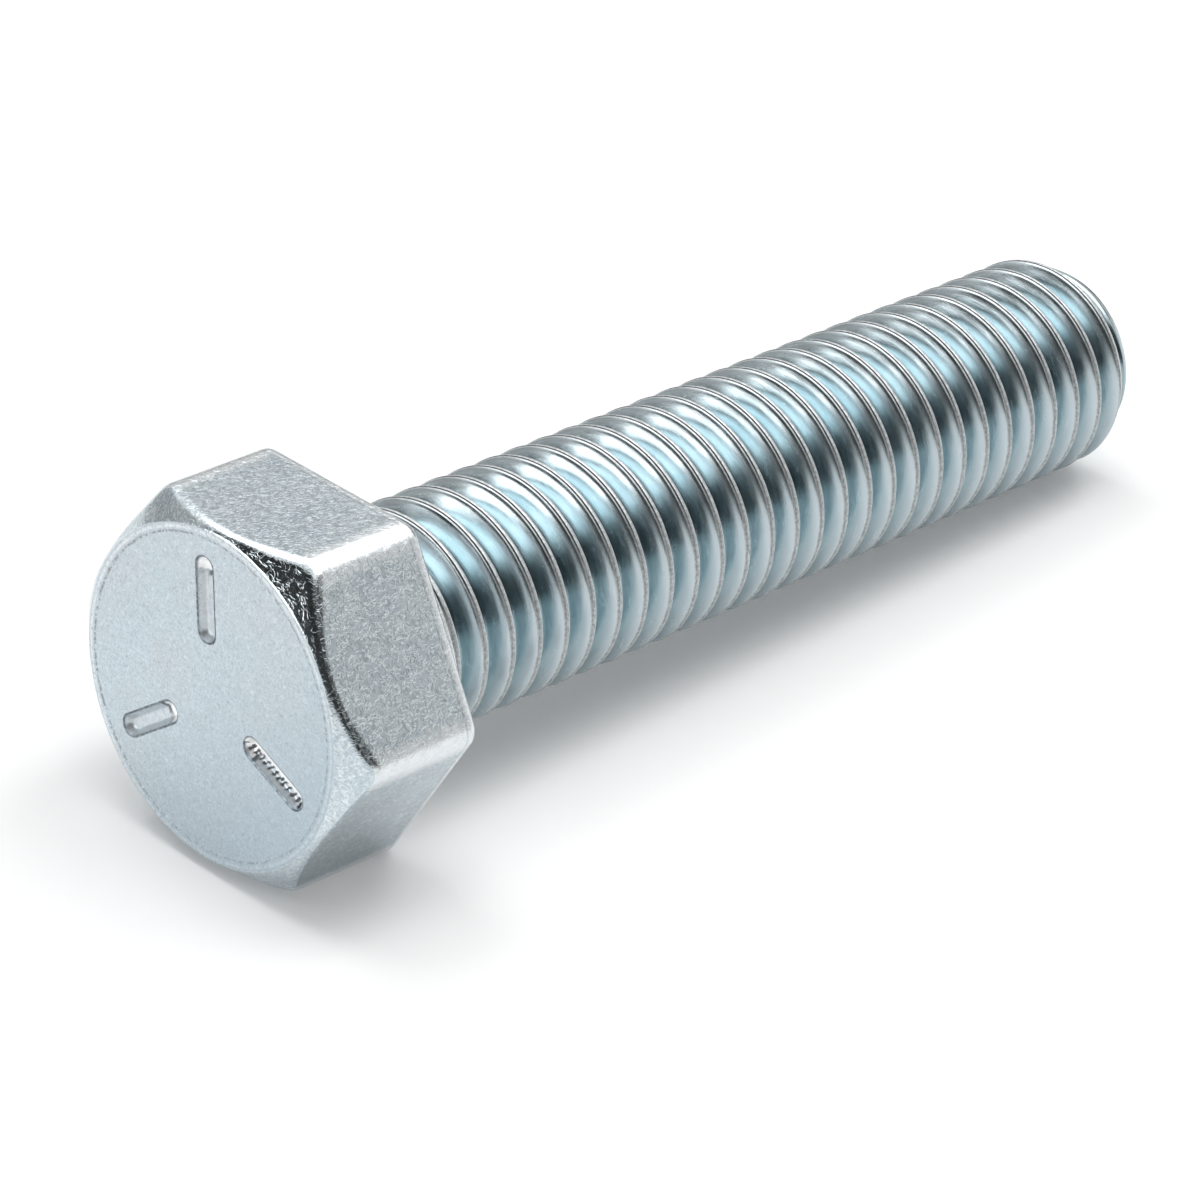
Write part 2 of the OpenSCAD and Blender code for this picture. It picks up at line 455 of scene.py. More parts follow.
@dataclass(frozen=True)
class BoltHead:
    """Six-sided head: marked top face, rounded rim, bevel, flats, washer face and fillet.

    The top's rings end and the side's rings start at seam_r. The finish changes at two rings of the
    side, bevel_row and flats_row, in the middle of the rim's rounding and of that of the bevel's edge.
    The columns of the top are evenly spaced up to even_until, run alongside the strokes from lanes_from
    on, and crowd half as much as those of the flats from crowd_r on.
    """

    flats_w: float = 19.05
    height: float = 8.79
    corner_round: float = 1.25
    top_d: float = 18.4
    bevel_deg: float = 40.0
    rim_round: float = 0.3
    lip_inner: float = 8.66
    lip_outer: float = 8.80
    lip_height: float = 0.03
    seam_r: float = 8.87
    bevel_round: float = 0.6
    corner_bevel_round: float = 1.1
    corner_rise: float = 0.7
    back_round: float = 0.55
    washer_d: float = 18.1
    washer_t: float = 0.35
    washer_foot: float = 0.05
    washer_edge: float = 0.12
    neck_d: float = 11.3
    fillet: float = 0.8
    neck_over: float = 0.06
    columns: int = 288
    crowding: float = 0.85
    even_until: float = 0.9
    lanes_from: float = 2.65
    crowd_r: float = 8.9
    ring_step: float = 0.055
    inner_reach: Tuple[float, float] = (-0.1, 0.8)
    outer_reach: Tuple[float, float] = (-0.75, 0.12)
    between_steps: int = 8
    lip_rings: int = 6
    lip_margin: float = 0.02
    middle_radii: Tuple[float, ...] = (0.45, 0.9, 1.4, 1.9, 2.3, 2.65)
    outer_radii: Tuple[float, ...] = (8.0, 8.35)
    bevel_row: int = 6
    flats_row: int = 16
    marks: GradeMarks = GradeMarks()

    def neck_end(self) -> float:
        """Place of the head's last ring along the axis."""
        return self.fillet + self.neck_over

    def even_angles(self) -> np.ndarray:
        """Evenly spaced angles of the columns, with one column in the middle of each stroke."""
        return math.radians(self.marks.first_deg) + 2 * math.pi / self.columns * np.arange(self.columns)

    def crowded_angles(self) -> np.ndarray:
        """Angles of the columns on the flats, closer together at the six corners.

        Returns:
            a - crowding * sin(6 a) / 6 for each evenly spaced angle a.
        """
        a = self.even_angles()
        return a - self.crowding * np.sin(6 * a) / 6

    def crowd(self, angle: np.ndarray, radius: np.ndarray) -> np.ndarray:
        """Carry angles up to half the way to the crowded ones, between the strokes and crowd_r."""
        share = 0.5 * smooth(self.marks.outer, self.crowd_r, radius)[:, None]
        return angle + (self.crowded_angles() - angle) * share

    def outline(self, angle: np.ndarray) -> np.ndarray:
        """Radius of the rounded hexagon at some angles.

        Args:
            angle: Angles in radians; the corners are at multiples of 60 degrees.

        Returns:
            The flat's half width over the cosine of the angle from the flat's middle, or close to a
            corner the far crossing with a circle of the corner's radius.
        """
        half = self.flats_w / 2
        sixth = math.pi / 3
        beta = (angle + sixth / 2) % sixth - sixth / 2
        flat = half / np.cos(np.abs(beta) - sixth / 2)
        centre = (half - self.corner_round) / math.cos(sixth / 2)
        tangent = math.atan2((half - self.corner_round) * math.tan(sixth / 2), half)
        inside = np.maximum(self.corner_round ** 2 - (centre * np.sin(beta)) ** 2, 0.0)
        arc = centre * np.cos(beta) + np.sqrt(inside)
        return np.where(np.abs(beta) > sixth / 2 - tangent, flat, arc)

    def top_rings(self) -> Tuple[np.ndarray, np.ndarray, np.ndarray]:
        """Rings of the top face, with the strokes pressed in.

        Returns:
            Arrays of x, radius and angle, one row for each ring. The rings stand closest at both ends
            of the strokes and at the low lip inside the rim.
        """
        marks = self.marks
        inner, outer = (np.arange(end + reach[0], end + reach[1], self.ring_step) for end, reach in
                        ((marks.inner, self.inner_reach), (marks.outer, self.outer_reach)))
        middle = np.linspace(inner[-1], outer[0], self.between_steps + 1)[1:-1]
        lip = np.linspace(self.lip_inner - self.lip_margin, self.lip_outer + self.lip_margin, self.lip_rings)
        radius = np.concatenate([self.middle_radii, inner, middle, outer, self.outer_radii, lip])
        even = self.even_angles()
        to_lanes = smooth(self.even_until, self.lanes_from, radius)[:, None]
        angle = even + (marks.columns_at(radius, self.columns) - even) * to_lanes
        angle = self.crowd(angle, radius)
        r = np.broadcast_to(radius[:, None], angle.shape)
        x = -self.height + marks.drop(r * np.cos(angle), r * np.sin(angle))
        x = x + self.lip_height * (1 - smooth(self.lip_inner, self.lip_outer, r))
        return x, r, angle

    def side_rings(self) -> Tuple[np.ndarray, np.ndarray, np.ndarray]:
        """Rings from the rim over the bevel, the flats and the bearing side to the neck.

        Returns:
            Arrays of x, radius and angle, one row for each ring. Column by column the path has its
            corners at the rim, where the bevel cone meets the flat, at the bearing side, at the
            washer face and at the neck, and each corner is rounded.
        """
        crowded = self.crowded_angles()
        wide = self.outline(crowded)
        top = self.top_d / 2
        meet = -self.height + (wide - top) * math.tan(math.radians(self.bevel_deg))
        washer = self.washer_d / 2
        neck = self.neck_d / 2
        at_corner = smooth(self.flats_w / 2, self.flats_w / 2 + self.corner_rise, wide)
        edge = self.bevel_round + (self.corner_bevel_round - self.bevel_round) * at_corner
        x, r = RoundedPath().rings(
            xs=[-self.height, -self.height, meet, -self.washer_t, -self.washer_t, 0.0, 0.0, self.neck_end()],
            rs=[self.seam_r, top, wide, wide, washer, washer, neck, neck],
            radii=[self.rim_round, edge, self.back_round, self.washer_foot, self.washer_edge, self.fillet],
            counts=[2, 2, 8, 2, 1, 4, 1])
        seam = np.array([self.seam_r])
        start = self.crowd(self.marks.columns_at(seam, self.columns), seam)
        past_rim = x >= -self.height + 0.01
        angle = start + (crowded - start) * np.where(past_rim, 1.0, smooth(self.seam_r, top, r))
        at_back = (r < washer + 0.4) & (x > -self.washer_t - 0.02)
        to_even = np.where(at_back, smooth(washer + 0.2, neck + 0.9, r), 0.0)
        angle = angle + (self.even_angles() - angle) * to_even
        return x, r, angle

    def build(self, shell: Shell) -> int:
        """Add the head to the shell.

        Args:
            shell: The skin that is being put together.

        Returns:
            The number of the first point of the last ring, at the neck.
        """
        tops = self.top_rings()
        x, r, angle = (np.concatenate(pair) for pair in zip(tops, self.side_rings()))
        pole = shell.add_points(np.array([[-self.height, 0.0, 0.0]]))
        first = shell.add_points(round_axis(x, r, angle).reshape(-1, 3))
        ring = np.arange(self.columns)
        after = (ring + 1) % self.columns
        shell.add_faces([pole, first + after, first + ring], Finish.FACE)
        ends = (0, len(tops[0]) + self.bevel_row, len(tops[0]) + self.flats_row, len(x) - 1)
        for start, stop, kind in zip(ends, ends[1:], Finish):
            first = shell.add_grid(first, stop - start + 1, self.columns, kind)
        return first


@dataclass(frozen=True)
class ThreadedShank:
    """Rolled thread on a helix from the neck to the coned point, right hand."""

    crest_d: float = 12.45
    pitch: float = 1.954
    depth: float = 1.1
    flank_deg: float = 30.0
    land: float = 0.4
    land_round: float = 0.12
    root_round: float = 0.14
    seam_at: float = -0.09
    seam_w: float = 0.03
    seam_depth: float = 0.05
    length: float = 57.15
    turn_deg: float = 310.0
    neck_d: float = 11.3
    neck_l: float = 0.9
    run_out: float = 1.9
    point_d: float = 10.1
    point_l: float = 1.9
    point_round: float = 0.04
    end_round: float = 0.3
    end_turns: Tuple[float, ...] = (22.5, 45.0, 67.5, 90.0)
    end_shares: Tuple[float, ...] = (0.96, 0.7, 0.4, 0.15)
    columns: int = 96
    snap: float = 0.03

    def stations(self) -> np.ndarray:
        """Places along one pitch where the section has a line of points.

        Returns:
            Distances from the middle of the land, as shares of the pitch, from 0 to 1. They stand
            closest at the seam and at the two edges of the land.
        """
        half = self.land / 2
        foot = half + self.depth * math.tan(math.radians(self.flank_deg))
        crest = [*(self.seam_at + self.seam_w * np.array([-1.2, 0, 1.2])), 0.01, half - self.land_round]
        top = half + self.land_round * np.array([-0.35, 0.3, 1.0, 1.8])
        side = np.concatenate([top, foot + self.root_round * np.array([-1.0, -0.3, 0.4])])
        places = np.concatenate([-side[:3], crest, side, [self.pitch / 2], self.pitch - side[3:]])
        return np.sort(places % self.pitch) / self.pitch

    def section(self, s: np.ndarray) -> np.ndarray:
        """Depth of the section below the crest.

        Args:
            s: Distance along the axis from the middle of a land.

        Returns:
            Depth in millimetres: level on the land, then 1 / tan(flank) down for each step along,
            then level in the root, with a parabola over each corner, and a narrow fold in the land
            where the two rolled lips meet, nearer its head side.
        """
        slope = 1 / math.tan(math.radians(self.flank_deg))
        half = self.land / 2
        foot = half + self.depth / slope
        away = np.abs(s)
        flank = slope * (soft_ramp(away - half, self.land_round) - soft_ramp(away - foot, self.root_round))
        return flank + self.seam_depth * np.exp(-((s - self.seam_at) / self.seam_w) ** 2)

    def radius(self, x: np.ndarray, turn: np.ndarray) -> np.ndarray:
        """Radius of the shank's surface.

        Args:
            x: Place along the axis.
            turn: Angle from +Y towards +Z, in whole turns.

        Returns:
            The thread's section at its distance from the nearest land, grown out of the neck over
            the run-out, and cut down to the cone of the point.
        """
        along = x / self.pitch - turn - (self.turn_deg / 360)
        full = self.crest_d / 2 - self.section((along - np.round(along)) * self.pitch)
        neck = self.neck_d / 2
        grown = neck + smooth(self.neck_l, self.neck_l + self.run_out, x) * (full - neck)
        cone = self.point_d / 2 + (self.length - x) / self.point_l * (self.crest_d - self.point_d) / 2
        return grown - soft_ramp(grown - cone, self.point_round)

    def surface(self, x: np.ndarray, turn: np.ndarray) -> np.ndarray:
        """Points on the shank's surface at places along the axis and angles in whole turns."""
        return round_axis(x, self.radius(x, turn), 2 * math.pi * turn)

    def build(self, shell: Shell, neck_ring: int, first_x: float, start_deg: float) -> None:
        """Add the shank to the shell and join it to the head's last ring.

        Args:
            shell: The skin that is being put together.
            neck_ring: Number of the first point of the head's last ring, which has three times as
                many points as a ring of the shank.
            first_x: Place of that ring along the axis.
            start_deg: Angle of the first column.
        """
        columns = self.columns
        places = self.stations()
        turns = np.arange(-2, int(self.length / self.pitch) + 3)
        line = (turns[:, None] + places[None, :]).reshape(-1)
        column = start_deg / 360 + np.arange(columns) / columns
        x = self.pitch * (line[None, :] + column[:, None] + self.turn_deg / 360)
        last_x = self.length - self.end_round
        low = x < first_x + self.snap
        high = x > last_x - self.snap
        inner = ~(low | high)
        count = int(inner.sum())
        owner = np.broadcast_to(np.arange(columns)[:, None], x.shape)
        body = self.surface(x[inner], column[owner[inner]])
        near = self.surface(np.full(columns, first_x), column)
        far = self.surface(np.full(columns, last_x), column)
        first = shell.add_points(np.concatenate([near, body, far]))
        number = np.cumsum(inner).reshape(x.shape) - 1
        ids = np.where(low, owner, np.where(high, columns + count + owner, columns + number)) + first
        around = np.full(x.shape[1], ids[0, -1])
        around[:-len(places)] = ids[0, len(places):]
        ids = np.concatenate([ids, around[None, :]], axis=0)
        shell.add_faces([ids[:-1, :-1], ids[1:, :-1], ids[1:, 1:], ids[:-1, 1:]], Finish.THREAD)
        self.join_neck(shell, neck_ring, first)
        self.close_point(shell, first + columns + count, far, column)

    def join_neck(self, shell: Shell, fine: int, coarse: int) -> None:
        """Join the head's last ring to the shank's first, three points to one.

        Args:
            shell: The skin that is being put together.
            fine: Number of the first point of the head's ring.
            coarse: Number of the first point of the shank's ring.
        """
        i = np.arange(self.columns)
        here = coarse + i
        after = coarse + (i + 1) % self.columns
        f = [fine + (3 * i + k) % (3 * self.columns) for k in range(4)]
        for corners in ([here, f[0], f[1]], [here, f[1], after], [after, f[1], f[2]], [after, f[2], f[3]]):
            shell.add_faces(corners, Finish.THREAD)

    def close_point(self, shell: Shell, last_ring: int, far: np.ndarray, column: np.ndarray) -> None:
        """Round the edge of the point and close its end face.

        Args:
            shell: The skin that is being put together.
            last_ring: Number of the first point of the shank's last ring.
            far: Points of that ring.
            column: Angles of the columns, in whole turns.
        """
        start = np.hypot(far[:, 1], far[:, 2])
        inset = self.end_round
        rows = []
        for at in np.radians(self.end_turns):
            rows.append((far[:, 0] + inset * math.sin(at), start - inset * (1 - math.cos(at))))
        for share in self.end_shares:
            rows.append((np.full(self.columns, self.length), (start - inset) * share))
        points = [round_axis(x, r, 2 * math.pi * column) for x, r in rows]
        first = shell.add_points(np.concatenate(points))
        pole = shell.add_points(np.array([[self.length, 0.0, 0.0]]))
        i = np.arange(self.columns)
        after = (i + 1) % self.columns
        shell.add_faces([last_ring + i, last_ring + after, first + after, first + i], Finish.THREAD)
        end = shell.add_grid(first, len(rows), self.columns, Finish.THREAD)
        shell.add_faces([end + i, end + after, pole], Finish.THREAD)


class Signal:
    """An output of a shader node, with signs and short names for what other nodes make of it."""

    def __init__(self, graph: "Graph", socket: bpy.types.NodeSocket) -> None:
        """Hold an output and the graph that its node is in."""
        self.graph = graph
        self.socket = socket

    def __add__(self, other: Value) -> "Signal":
        """The sum."""
        return self.graph.math("ADD", self, other)

    def __sub__(self, other: Value) -> "Signal":
        """The difference."""
        return self.graph.math("SUBTRACT", self, other)

    def __rsub__(self, other: Value) -> "Signal":
        """The difference, where this comes second."""
        return self.graph.math("SUBTRACT", other, self)

    def __mul__(self, other: Value) -> "Signal":
        """The product."""
        return self.graph.math("MULTIPLY", self, other)

    def __truediv__(self, other: Value) -> "Signal":
        """The quotient."""
        return self.graph.math("DIVIDE", self, other)

    def __abs__(self) -> "Signal":
        """The number without its sign."""
        return self.graph.math("ABSOLUTE", self)

    def __round__(self) -> "Signal":
        """The nearest whole number."""
        return self.graph.math("ROUND", self)

    def length(self, other: "Signal") -> "Signal":
        """The square root of the sum of the squares of this and another."""
        return self.graph.math("SQRT", self * self + other * other)

    def span(self, low: float, high: float, start: float = 0.0, end: float = 1.0) -> "Signal":
        """Carry the number from one range to another along an S and hold it at the ends.

        Args:
            low: Where the first range starts.
            high: Where the first range ends.
            start: Result at low.
            end: Result at high.

        Returns:
            The result of a Map Range node.
        """
        return self.graph.first("MapRange", self, low, high, start, end, interpolation_type="SMOOTHSTEP")

    def line(self, at: float, outer: float, inner: float) -> "Signal":
        """A share that is 1 less than inner away from a number and 0 past outer."""
        return abs(self - at).span(outer, inner)

    def stretched(self, *scale: float) -> "Signal":
        """The vector times one number, or each of its three numbers times its own."""
        none = (0.0, 0.0, 0.0)
        return self.graph.first("Mapping", self, none, none, scale * 3 if len(scale) == 1 else scale)

    def noise(self, detail: float = 2.0, rough: float = 0.5, twist: float = 0.0) -> "Signal":
        """Noise whose grains are about one unit of the vector wide.

        Args:
            detail: Octaves of finer grain.
            rough: Strength of each finer octave.
            twist: How far the grains are bent out of shape.

        Returns:
            The noise, around 0.5.
        """
        node = self.graph.node("TexNoise", self)
        for name, value in (("Scale", 1.0), ("Detail", detail), ("Roughness", rough), ("Distortion", twist)):
            node.inputs[name].default_value = value
        return Signal(self.graph, node.outputs[0])


class Graph:
    """The shader nodes of a material or a world, with short ways to add and link them."""

    def __init__(self, owner: Union[bpy.types.Material, bpy.types.World]) -> None:
        """Take the nodes of a new material or world.

        Args:
            owner: The material or world.
        """
        owner.use_nodes = True
        self.owner = owner
        self.tree = owner.node_tree
        self.shader = self.tree.nodes.get("Principled BSDF") or self.tree.nodes["Background"]

    def put(self, socket: bpy.types.NodeSocket, value: Value) -> None:
        """Set an input to a constant or link it to another node's output.

        Args:
            socket: The input.
            value: The constant, or the output as a signal.
        """
        if isinstance(value, Signal):
            self.tree.links.new(value.socket, socket)
        else:
            socket.default_value = value

    def feed(self, name: str, value: Value) -> None:
        """Set or link one input of the shader."""
        self.put(self.shader.inputs[name], value)

    def node(self, kind: str, *values: Value, **settings: str) -> bpy.types.Node:
        """Add a node.

        Args:
            kind: Its type, without the first word.
            values: What its first inputs are set or linked to.
            settings: Its settings that aren't inputs.

        Returns:
            The node.
        """
        node = self.tree.nodes.new("ShaderNode" + kind)
        for name, setting in settings.items():
            setattr(node, name, setting)
        for socket, value in zip(node.inputs, values):
            self.put(socket, value)
        return node

    def first(self, kind: str, *values: Value, **settings: str) -> Signal:
        """The first output of a new node."""
        return Signal(self, self.node(kind, *values, **settings).outputs[0])

    def math(self, operation: str, *values: Value) -> Signal:
        """The result of a Math node."""
        return self.first("Math", *values, operation=operation)

    def tint(self, share: Signal, first: Tint, second: Tint) -> Signal:
        """A colour between two others.

        Args:
            share: How much of the second colour there is in it.
            first: The one colour.
            second: The other colour.

        Returns:
            The result of a Mix node.
        """
        node = self.node("Mix", share, data_type="RGBA")
        sockets = [socket for socket in node.inputs if socket.type == "RGBA"]
        for socket, colour in zip(sockets, (first, second)):
            colour = colour.value if isinstance(colour, Tone) else colour
            self.put(socket, colour if isinstance(colour, Signal) else (*colour, 1.0))
        return Signal(self, [socket for socket in node.outputs if socket.type == "RGBA"][0])

    def bump(self, height: Signal, depth_mm: float) -> None:
        """Give the shader a relief.

        Args:
            height: Height from 0 to 1.
            depth_mm: What a height of 1 stands for, in millimetres.
        """
        node = self.node("Bump")
        node.inputs["Strength"].default_value = 1.0
        node.inputs["Distance"].default_value = depth_mm * MM
        self.put(node.inputs["Height"], height)
        self.feed("Normal", Signal(self, node.outputs["Normal"]))

    def glow(self, grey: float, level: Value) -> None:
        """Make the shader a surface without reflections that shines white.

        Args:
            grey: How pale the surface is.
            level: Strength of its light.
        """
        self.feed("Base Color", (grey, grey, grey, 1.0))
        self.feed("Specular IOR Level", 0.0)
        self.feed("Emission Color", (1.0, 1.0, 1.0, 1.0))
        self.feed("Emission Strength", level)

    def seen_by(self, *kinds: str) -> Signal:
        """Tell some kinds of rays from the others.

        Args:
            kinds: Names of the kinds, as in the Light Path node.

        Returns:
            1 for these rays and 0 for others: the largest of the node's outputs.
        """
        outputs = self.node("LightPath").outputs
        first, *others = (Signal(self, outputs["Is %s Ray" % kind]) for kind in kinds)
        for other in others:
            first = self.math("MAXIMUM", first, other)
        return first


class BoltGraph(Graph):
    """The nodes of a finish, which know the place on the bolt."""

    def __init__(self, name: str, rest: Rest) -> None:
        """Start a material that reads the place in millimetres along the bolt's own axis.

        Args:
            name: The material's name.
            rest: How the bolt lies.
        """
        super().__init__(bpy.data.materials.new(name))
        tilt = math.radians(rest.tilt_deg)
        c = math.cos(tilt)
        s = math.sin(tilt)
        shift = (rest.lift * s - rest.slide * c, 0.0, -rest.slide * s - rest.lift * c)
        here = Signal(self, self.node("TexCoord").outputs["Object"])
        self.spot = self.first("Mapping", here, shift, (0.0, -tilt, 0.0), (1 / MM,) * 3)
        self.x, self.y, self.z = (Signal(self, s) for s in self.node("SeparateXYZ", self.spot).outputs)
        self.radius = self.y.length(self.z)
        self.angle = self.math("ARCTAN2", self.z, self.y)
        self.colour: Optional[Signal] = None
        self.rough: Optional[Signal] = None

    def paint(self, colour: Tint, share: Signal) -> None:
        """Cover a share of the finish's colour with another colour."""
        self.colour = self.tint(share, self.colour, colour)


@dataclass(frozen=True)
class ZincPlate:
    """Clear to pale blue zinc plate on steel.

    The relief is fine noise, whose grains can be longer in one direction. The same grains change the
    colour and the roughness a little, and wide soft clouds carry the colour towards a second one.
    """

    name: str
    colour: Colour
    second: Colour
    roughness: float
    grain: Tuple[float, ...]
    relief: float
    speckle: float = 0.2
    twist: float = 0.6
    worms: float = 0.0

    def material(self, rest: Rest) -> bpy.types.Material:
        """The finish as a Blender material.

        Args:
            rest: How the bolt lies, which the grain follows.

        Returns:
            The material.
        """
        graph = BoltGraph(self.name, rest)
        self.plate(graph, self.grains(graph))
        self.wear(graph)
        graph.feed("Base Color", graph.colour)
        graph.feed("Metallic", 1.0)
        graph.feed("Roughness", graph.rough)
        return graph.owner

    def grains(self, graph: BoltGraph) -> Signal:
        """The place on the bolt, measured in grains."""
        return graph.spot.stretched(*self.grain)

    def plate(self, graph: BoltGraph, grain: Signal) -> None:
        """Give the material its grain, as colour, roughness and relief.

        Args:
            graph: The material's nodes.
            grain: The place on the bolt, measured in grains.
        """
        fine = grain.noise(3.0, 0.65, self.twist)
        wide = graph.spot.stretched(0.3).noise()
        dark = tuple(0.5 * c for c in self.colour)
        light = tuple(min(1.0, 1.5 * c) for c in self.colour)
        graph.colour = graph.tint(wide.span(0.35, 0.65), self.colour, self.second)
        graph.paint(dark, fine.span(0.5, 0.2, 0.0, 3 * self.speckle))
        graph.paint(light, fine.span(0.5, 0.8, 0.0, 3 * self.speckle))
        height = fine
        if self.worms:
            bent = grain.stretched(0.4).noise(1.0, 0.5, 1.4)
            ridge = bent.line(0.46, 0.05, 0.0)
            groove = bent.line(0.57, 0.04, 0.0)
            graph.paint(light, ridge * (0.9 * self.worms))
            graph.paint(dark, groove * (0.4 * self.worms))
            height = fine + (ridge - groove) * self.worms
        graph.rough = fine.span(0.3, 0.7, self.roughness * 0.85, self.roughness * 1.15)
        graph.bump(height, self.relief)

    def wear(self, graph: BoltGraph) -> None:
        """Add what a finish shows besides its grain, which here is nothing."""


class StrokeShade:
    """Painted shade and painted highlights in the grade marks, worked out from the place in the nearest stroke."""

    def __init__(self, graph: BoltGraph, marks: GradeMarks, dots: Signal) -> None:
        """Work out which stroke is nearest and the place in it.

        Args:
            graph: The material's nodes.
            marks: The strokes. Their numbers run 0, -1, -2 from the top one towards +Y.
            dots: Fine noise, around 0.5.
        """
        third = 2 * math.pi / marks.count
        first = math.radians(marks.first_deg)
        number = round((graph.angle - first) / third)
        c = graph.math("COSINE", number * third + first)
        s = graph.math("SINE", number * third + first)
        self.near, self.far, self.wall = marks.middle_line()
        self.graph = graph
        self.dots = dots
        self.out = graph.y * c + graph.z * s
        self.aside = graph.z * c - graph.y * s
        held = graph.math("MINIMUM", graph.math("MAXIMUM", self.out, self.near), self.far)
        self.inside = marks.width / 2 - (self.out - held).length(self.aside)
        self.within = self.inside.span(-0.02, 0.04)
        self.is_top = number.line(0.0, 0.5, 0.4)
        self.is_lowest = number.span(-1.4, -1.6)

    def walls(self) -> None:
        """Paint shade on the walls, the outlines and the steep side of the top stroke, and make the floors paler."""
        paint = self.graph.paint
        inside = self.inside
        dots = self.dots
        # Painted shade on the walls, mostly left out in the lowest stroke.
        grey = self.within * inside.span(self.wall + 0.04, self.wall - 0.04) * dots.span(0.4, 0.52, 0.5, 0.0)
        paint(Tone.STROKE_WALL, grey * (1.0 - self.is_lowest * 0.8))
        paint(Tone.STROKE_FLOOR, inside.span(0.04, 0.12) * dots.span(0.6, 0.45, 0.15, 0.45))
        # Painted shade along each stroke's outline.
        paint(Tone.STROKE_LINE, inside.line(-0.02, 0.08, 0.03) * dots.span(0.35, 0.6, 0.5, 0.9))
        # Painted shade on the steep side of the top stroke.
        steep = inside.span(-0.14, -0.09) * self.aside.span(self.wall + 0.05, self.wall + 0.15) * self.is_top
        paint(Tone.STROKE_LIP, steep * dots.span(0.6, 0.4, 0.5, 0.95))

    def ends(self) -> None:
        """Paint a highlight on the upper end of each stroke and shade on the edge below it."""
        outwards = (self.out - self.far) * self.is_top
        inwards = (self.near - self.out) * (1.0 - self.is_top)
        past = outwards + inwards + self.dots * 0.3
        # Painted shade on the edge below each stroke's painted highlight.
        edge = past.span(-0.42, -0.25) * past.span(0.02, -0.12) * self.aside.span(-0.2, 0.1, 0.2, 0.8)
        self.graph.paint(Tone.END_SHADE, edge * self.within)
        # Painted highlight on the upper end of each stroke.
        self.graph.paint(Tone.END_SHINE, past.span(-0.1, 0.02) * self.inside.span(0.05, 0.12) * 0.95)

    def chatter_and_highlight(self) -> None:
        """Paint a highlight on one side of the lowest stroke, and add the dark steps that the punch left in it."""
        here = self.within * self.is_lowest
        # Painted highlight along one side of the lowest stroke.
        self.graph.paint(Tone.CHATTER_LIGHT, here * self.aside.span(0.16, 0.04) * 0.9)
        wave = self.graph.math("SINE", self.out * 17.0 + (self.dots + self.aside) * 9.0)
        steps = wave.span(-0.3, 0.4) * self.aside.span(0.46, 0.34) * self.aside.span(-0.04, 0.08)
        self.graph.paint(Tone.CHATTER_DARK, steps * here * 0.92)


@dataclass(frozen=True)
class FacePlate(ZincPlate):
    """Zinc plate on the top of the head: painted shade and a painted highlight at the rim, and painted shade and
    highlights in the strokes.
    """

    rim: float = 8.8
    marks: GradeMarks = GradeMarks()
    stroke_roughness: float = 0.2

    def wear(self, graph: BoltGraph) -> None:
        """Add painted shade in a dotted line inside the rim, a painted highlight on its lip, painted shade lower down
        and the painted light and shade of the strokes.

        Args:
            graph: The material's nodes.
        """
        dots = graph.spot.stretched(4.0).noise(2.0, 0.6, 0.5)
        # The dark dotted line is painted shade at the step inside the rim; the pale one is a painted highlight on the
        # rim's rounding.
        groove = graph.radius.line(self.rim - 0.06, 0.11, 0.02)
        lip = graph.radius.line(self.rim + 0.2, 0.13, 0.03)
        graph.paint(Tone.RIM_DIRT, groove * dots.span(0.42, 0.56) * 0.6)
        graph.paint(Tone.RIM_BARE, lip * dots.span(0.62, 0.48) * 0.5)
        # Painted shade, growing towards the lower side of the face.
        graph.paint(Tone.FACE_LOW, (graph.y * -0.6 + graph.z * -0.8).span(-3.0, 9.0, 0.0, 0.45))
        shade = StrokeShade(graph, self.marks, dots)
        graph.rough = graph.rough + shade.within * self.stroke_roughness
        shade.walls()
        shade.ends()
        shade.chatter_and_highlight()


@dataclass(frozen=True)
class FlatPlate(ZincPlate):
    """Zinc plate on the flats, with drag lines along one flat that faces the ground on one side."""

    drag_deg: float = 210.0
    half: float = 9.525
    corner: float = 10.8
    rear_line: float = -1.15

    def wear(self, graph: BoltGraph) -> None:
        """Paint shade on the top flat and over the drag flat, and add drag lines, bare worn corners, a painted
        highlight along the rear edge and a line beside the rear edge.

        Args:
            graph: The material's nodes.
        """
        drag = math.radians(self.drag_deg)
        out = graph.y * math.cos(drag) + graph.z * math.sin(drag)
        on_flat = out.span(self.half - 0.5, self.half - 0.15)
        # Painted shade on the top flat.
        graph.paint(Tone.FLAT_TOP, graph.z.span(self.half - 0.5, self.half - 0.15, 0.0, 0.55))
        # Painted shade over the drag flat, darker towards the floor.
        graph.paint(Tone.FLAT_LOW, on_flat * graph.z.span(-5.0, -9.5, 0.4, 0.75))
        swirl = graph.spot.stretched(0.45, 3.2, 3.2).noise(3.0, 0.6, 0.8)
        graph.paint(Tone.DRAG, swirl.line(0.5, 0.035, 0.0) * on_flat * graph.z.span(-3.5, -6.5) * 0.5)
        dots = graph.spot.stretched(2.5).noise(3.0, 0.65, 0.8)
        # Bare wear on the corners, and a painted highlight along the rear edge.
        at_corner = (graph.radius + dots * 0.3).span(self.corner - 0.3, self.corner)
        rear = (graph.x + dots * 0.2).span(-1.1, -0.8)
        graph.paint(Tone.EDGE_BARE, graph.math("MAXIMUM", at_corner, rear) * 0.6)
        graph.paint(Tone.EDGE_LINE, graph.x.line(self.rear_line, 0.09, 0.02) * dots.span(0.4, 0.55) * 0.45)


